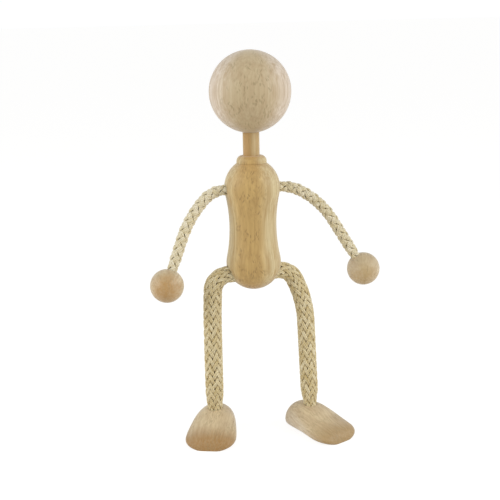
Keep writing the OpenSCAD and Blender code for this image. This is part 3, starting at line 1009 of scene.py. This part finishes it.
@dataclass(frozen=True)
class Studio:
    """A pale floor, two soft side lamps and the camera, 0.5 m from the puppet.

    Sizes are in metres, and the camera's place is measured from the torso's axis. The glow makes the floor
    white to the camera, and its share leaves enough of the paper for the shadow.
    """

    eye: tuple[float, float, float] = (-0.12261, -0.48474, 0.208)
    turn: float = 14.0
    pitch: float = 12.67
    roll: float = 1.3
    focal_px: float = 1045.0
    lamp_target: float = 0.11
    lamps: tuple[Softbox, ...] = (Softbox("left softbox", -70.0, 3.8), Softbox("right softbox", 68.0, 4.0))
    paper: str = "#eee9e1"
    glow: float = 1.27
    glow_share: float = 0.68
    sky: str = "#f6faff"
    sky_light: float = 0.5
    sky_seen: float = 1.1

    def camera(self) -> None:
        """Sets up the camera at the photograph's place and angle."""
        turn, pitch, roll = (math.radians(a) for a in (self.turn, self.pitch, self.roll))
        ahead = Vector((
            math.sin(turn) * math.cos(pitch), math.cos(turn) * math.cos(pitch), -math.sin(pitch),
        ))
        level = Vector((math.cos(turn), -math.sin(turn), 0))
        above = level.cross(ahead)
        right = level * math.cos(roll) - above * math.sin(roll)
        up = above * math.cos(roll) + level * math.sin(roll)
        data = bpy.data.cameras.new("camera")
        data.sensor_width, data.lens = SENSOR_MM, self.focal_px / IMAGE_PX * SENSOR_MM
        data.clip_start, data.clip_end = 0.01, 100.0
        camera = bpy.data.objects.new("camera", data)
        bpy.context.scene.collection.objects.link(camera)
        axes = Matrix((right, up, -ahead)).transposed().to_4x4()
        axis = Vector((TORSO_AXIS[0] * MM, TORSO_AXIS[1] * MM, 0))
        camera.matrix_world = Matrix.Translation(axis + Vector(self.eye)) @ axes
        bpy.context.scene.camera = camera

    def floor(self) -> None:
        """Lays the floor, which is white to the camera but keeps the puppet's shadow."""
        bpy.ops.object.select_all(action="DESELECT")
        bpy.ops.mesh.primitive_plane_add(size=60.0, location=(0, 0, 0))
        floor = bpy.context.object
        floor.name = "floor"
        material, tree, output = new_material("matt white paper")
        add = partial(add_node, tree)
        paper = add("ShaderNodeBsdfDiffuse", {"Color": linear(self.paper)})
        glow = add("ShaderNodeEmission", {"Color": (1, 1, 1, 1), "Strength": self.glow})
        share = add("ShaderNodeMath", {0: sight_share(tree), 1: self.glow_share}, operation="MULTIPLY")
        both = add("ShaderNodeMixShader", {0: share, 1: paper, 2: glow})
        tree.links.new(both.outputs[0], output.inputs[0])
        dress(floor, material)

    def light(self) -> None:
        """Hangs the two softboxes and sets the pale surroundings."""
        middle = Vector((TORSO_AXIS[0] * MM, TORSO_AXIS[1] * MM, self.lamp_target))
        for box in self.lamps:
            around, rise = math.radians(box.azimuth - self.turn), math.radians(box.rise)
            way = Vector((
                math.sin(around) * math.cos(rise), -math.cos(around) * math.cos(rise), math.sin(rise),
            ))
            data = bpy.data.lights.new(box.name, "AREA")
            data.shape, data.size, data.energy = "SQUARE", box.size, box.power
            lamp = bpy.data.objects.new(box.name, data)
            bpy.context.scene.collection.objects.link(lamp)
            facing = way.to_track_quat("Z", "Y").to_matrix().to_4x4()
            lamp.matrix_world = Matrix.Translation(middle + way * box.distance) @ facing
        world = bpy.data.worlds.new("pale studio")
        bpy.context.scene.world = world
        world.use_nodes = True
        tree = world.node_tree
        tree.nodes.clear()
        add = partial(add_node, tree)
        strength = add("ShaderNodeMapRange", {
            "Value": sight_share(tree), "To Min": self.sky_light, "To Max": self.sky_seen,
        })
        sky = add("ShaderNodeBackground", {"Color": linear(self.sky), "Strength": strength})
        output = add("ShaderNodeOutputWorld")
        tree.links.new(sky.outputs[0], output.inputs[0])
        bpy.context.scene.view_settings.view_transform = "Standard"


# The width in millimetres of the hole in each foot, into which the leg's braid is squeezed, and the angle
# in degrees that the foot is turned out
ANKLE_BORE = {Side.LEFT: 7.0, Side.RIGHT: 7.95}
TOES_OUT = {Side.LEFT: 27.0, Side.RIGHT: 21.5}


@dataclass(frozen=True)
class Puppet:
    """The whole puppet. Sizes are in millimetres and degrees, and follow its drawing."""

    arm_height: float = 126.2
    hip_height: float = 84.4
    arm_mouth: float = 13.4913
    leg_mouth: float = 12.3073
    arm_swing: float = 9.0
    root: float = 5.0
    hand_cut: float = 0.4

    def arm_route(self, side: Side) -> Route:
        """Gives the middle line of one arm.

        Args:
            side: which arm.

        Returns:
            The route from the torso to the middle of the hand.
        """
        root = Stretch(0.4)
        steps = {
            Side.LEFT: (root, Stretch(11, 29), Stretch(10, 14.0909), Stretch(12, 16.9091), Stretch(29.3)),
            Side.RIGHT: (root, Stretch(11, 44.3), Stretch(10, 10.8636), Stretch(12, 13.0364), Stretch(23.3)),
        }[side]
        return Route(side.value, self.arm_mouth, self.arm_height, self.arm_swing, steps)

    def arm(self, side: Side) -> CordLimb:
        """Gives one arm.

        Args:
            side: which arm.

        Returns:
            The arm.
        """
        route = self.arm_route(side)
        elbow = route.start_of(3) + 6
        tip = route.length() - self.hand_cut
        braid = Braid(
            diameter=5.95, strands=8, lay=19.2, strand_thick=1.15, strand_wide=2.15, yarns=3, crisp=1.3,
            columns=8, seed=11 + side.value,
        )
        return CordLimb(
            side, "arm", route, braid, wire=1.2, root=self.root, tip=tip,
            first_bend=(0.0, 14.0), second_bend=(elbow - 9, elbow + 9),
            bodies=("shoulder", "upper_arm", "forearm"),
            upper_nodes=("arm_root", "shoulder_bend", "upper_arm"), lower_nodes=("elbow_bend", "forearm"),
            narrow=(WidthChange(7, -0.6, 0.89), WidthChange(tip - 13, tip - 7.6, 0.85)),
        )

    def leg_route(self, side: Side) -> Route:
        """Gives the middle line of one leg.

        Args:
            side: which leg.

        Returns:
            The route from the torso to its end in the foot.
        """
        root, knee = Stretch(0.4), Stretch(14)
        swing, *steps = {
            Side.LEFT: (2.61341, root, Stretch(9.82969, 64), Stretch(23, 24.5), knee, Stretch(35.791)),
            Side.RIGHT: (-5.29703, root, Stretch(12.4407, 88), Stretch(23, 3), knee, Stretch(32.33)),
        }[side]
        return Route(side.value, self.leg_mouth, self.hip_height, swing, tuple(steps))

    def leg(self, side: Side) -> CordLimb:
        """Gives one leg.

        Args:
            side: which leg.

        Returns:
            The leg.
        """
        route = self.leg_route(side)
        knee = route.start_of(3) + 7
        braid = Braid(
            diameter={Side.LEFT: 9.0, Side.RIGHT: 9.3}[side], strands=24, lay=56.0, strand_thick=1.0,
            strand_wide=1.55, yarns=2, crisp=2.0, columns=12, seed=31 + side.value,
        )
        end = route.length()
        at_foot = (ANKLE_BORE[side] - 0.05) / braid.diameter
        return CordLimb(
            side, "leg", route, braid, wire=1.6, root=self.root, tip=end,
            first_bend=(0.2, 17.0), second_bend=(knee - 12, knee + 12), bodies=("hip", "thigh", "shin"),
            upper_nodes=("leg_root", "hip_bend", "thigh"), lower_nodes=("knee_bend", "shin"),
            narrow=(WidthChange(10, -0.6, 8.35 / braid.diameter), WidthChange(end - 15, end - 7, at_foot)),
        )

    def dress_wood(self) -> None:
        """Gives each turned wooden node its own piece of beech."""
        # The dowel's beech is the body's made darker, a painted shadow of the head on the neck.
        dowel = WARM | {"flat": "#c39a60", "edge": "#cdb688"}
        # Each heart sets where on its piece the paler edge colour, partly painted sheen, falls.
        woods = {
            "head": RawBeech("raw beech, turned ball", heart=(3.4, 36, 160), grain=(0.02, 0.05, 1), **PALE),
            "torso": RawBeech("raw beech, turned body", heart=(10.5, 39, 100), grain=(0.01, 0.03, 1), **WARM),
            "neck_dowel": RawBeech("raw beech, dowel", heart=(9, 14, 150), ray_share=0.3, **dowel),
        }
        for name, wood in woods.items():
            dress(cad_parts[name], wood.material())
            log.info("dressed %s in %s", name, wood.name)

    @staticmethod
    def hand_wood(side: Side) -> RawBeech:
        """Gives the wood of one hand, whose end grain faces forward and a little down.

        Args:
            side: which hand.

        Returns:
            The hand's wood.
        """
        own = {
            Side.LEFT: dict(heart=(46, -8, 66), grain=(-0.2, -0.85, -0.49), end_from=0.4, band_share=0.15,
                            edge="#dccbab", end="#bb985a"),
            Side.RIGHT: dict(heart=(-46, 7, 60), grain=(-0.24, -0.96, -0.05), end_from=0.3, end_share=0.9,
                             edge="#dfcfae", end="#b98c4c"),
        }[side]
        return RawBeech(f"raw beech, {side.name.lower()} ball", **PALE | own)

    def foot_wood(self, side: Side) -> RawBeech:
        """Gives the wood of one foot, whose grain runs from the heel down to the toes.

        Args:
            side: which foot.

        Returns:
            The foot's wood.
        """
        out = math.radians(TOES_OUT[side])
        grain = (side.value * math.sin(out), -math.cos(out), -0.22)
        route = self.leg_route(side)
        ankle = route.point(route.length()) / MM
        # Painted shade: each foot's span along the grain in millimetres from the heart, and its share, over
        # which the toe's lower front turns to the end colour, which is also its end grain's colour.
        painted_shade_span, end = {
            Side.LEFT: ((9.0, 24.0, 1.0), "#ab8c5c"), Side.RIGHT: ((12.0, 25.0, 1.0), "#a47c46"),
        }[side]
        return RawBeech(
            f"raw beech, {side.name.lower()} foot", heart=tuple(ankle + Vector((0, 6, -16))), grain=grain,
            ring=2.4, end_share=0.8, end_from=0.3, band_share=0.2, painted_shade_span=painted_shade_span,
            **PALE | {"flat": "#dcc79e", "edge": "#dfd0b4", "end": end},
        )

    def dress_inside(self, yarns: dict[str, bpy.types.Material], steel: bpy.types.Material) -> None:
        """Gives the cords and wires inside the torso their finishes.

        Args:
            yarns: the braid's finish for arms and for legs.
            steel: the wire's finish.
        """
        for kind, yarn in yarns.items():
            for name, finish in ((f"{kind}_cord_middle", yarn), (f"{kind}_wire_middle", steel)):
                dress(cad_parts[name], finish)
                log.info("dressed %s", name)

    def build(self) -> None:
        """Builds and dresses every piece."""
        self.dress_wood()
        # The third colour of each braid is the painted shade of its pits.
        yarns = {
            "arm": CottonBraid("natural cotton, arm braid", "#fdf5e0", "#d9c99c", "#6b5226").material(),
            "leg": CottonBraid("natural cotton, leg braid", "#fbf1d0", "#cdb67c", "#9a7f4a").material(),
        }
        steel = SoftWire().material()
        self.dress_inside(yarns, steel)
        for side in Side:
            for limb in (self.arm(side), self.leg(side)):
                for piece in limb.build(yarns[limb.kind], steel):
                    log.info("built %s with %d faces", piece.name, len(piece.data.polygons))
            hand = Hand(side, self.arm_route(side))
            foot = Foot(side, self.leg_route(side), TOES_OUT[side], ANKLE_BORE[side])
            for shape, wood in ((hand, self.hand_wood(side)), (foot, self.foot_wood(side))):
                piece = shape.build(wood.material())
                log.info("built %s with %d faces", piece.name, len(piece.data.polygons))


def main() -> None:
    """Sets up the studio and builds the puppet."""
    logging.basicConfig(level=logging.INFO, format="%(name)s: %(message)s")
    studio = Studio()
    studio.camera()
    studio.floor()
    studio.light()
    Puppet().build()


if __name__ == "__main__":
    main()
